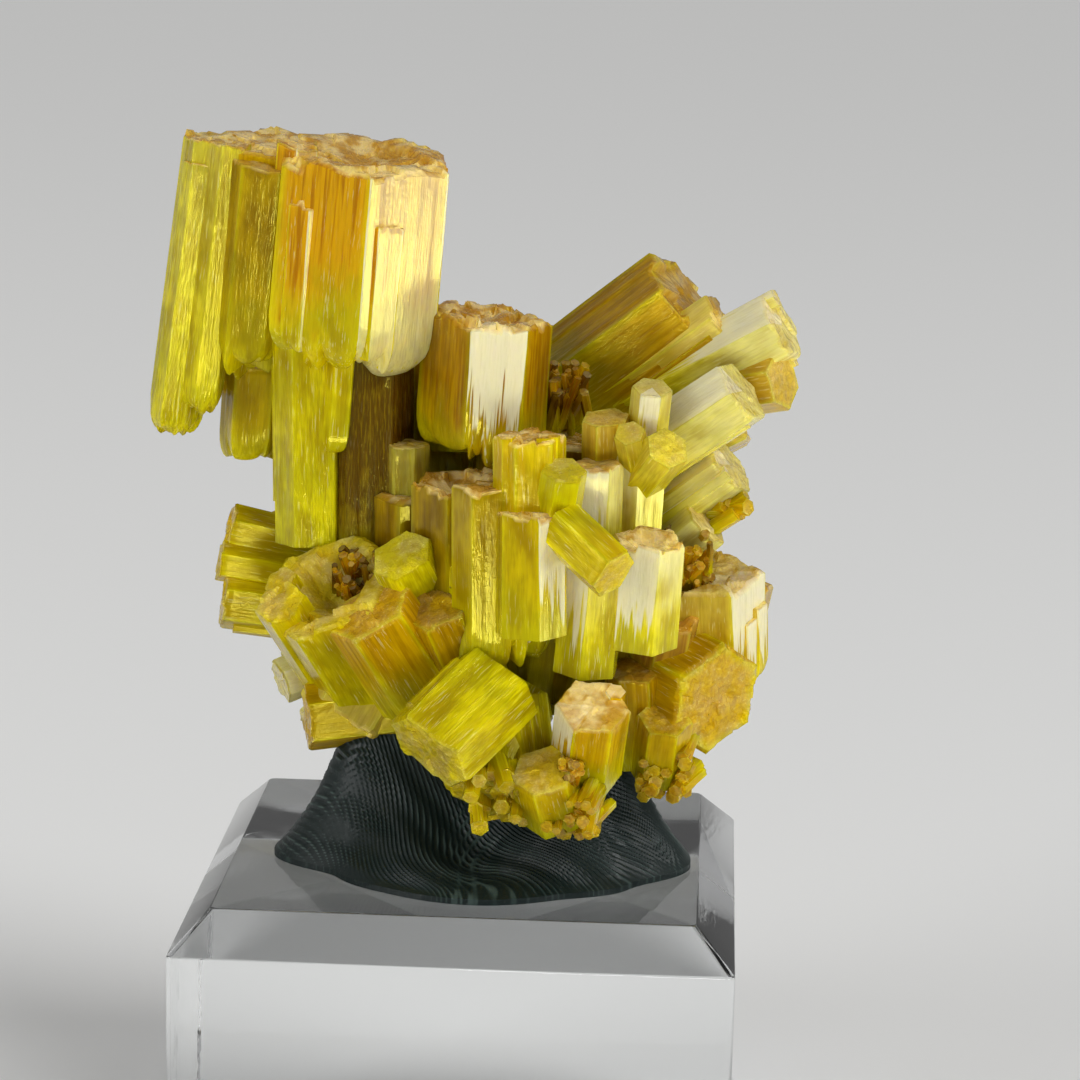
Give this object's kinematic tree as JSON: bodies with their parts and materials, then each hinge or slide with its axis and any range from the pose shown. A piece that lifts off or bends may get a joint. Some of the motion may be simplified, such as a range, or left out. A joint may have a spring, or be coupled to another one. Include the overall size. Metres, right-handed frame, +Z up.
{
  "type": "pyromorphite crystal specimen on display block",
  "caption": "Cluster of hexagonal yellow-green mineral crystals held by dark putty on a clear bevelled acrylic display block.",
  "frame": {"origin": "centre of the acrylic block's underside", "axes": "+Z up, +X to the right seen from the front, +Y from the front to the back; the front is the side with the free-standing tall crystal at its left"},
  "size_m": [0.0384, 0.0318, 0.0615],
  "materials": {
    "clear_acrylic": "polished clear acrylic",
    "dark_putty": "matte dark grey-green putty with fine pressed ridges",
    "pyromorphite": "translucent yellow-green to orange-brown crystal, resinous lustre"
  },
  "bodies": {
    "root": {"acrylic_block": "clear_acrylic", "mounting_putty": "dark_putty", "pyromorphite_cluster": "pyromorphite"}
  },
  "joints": []
}
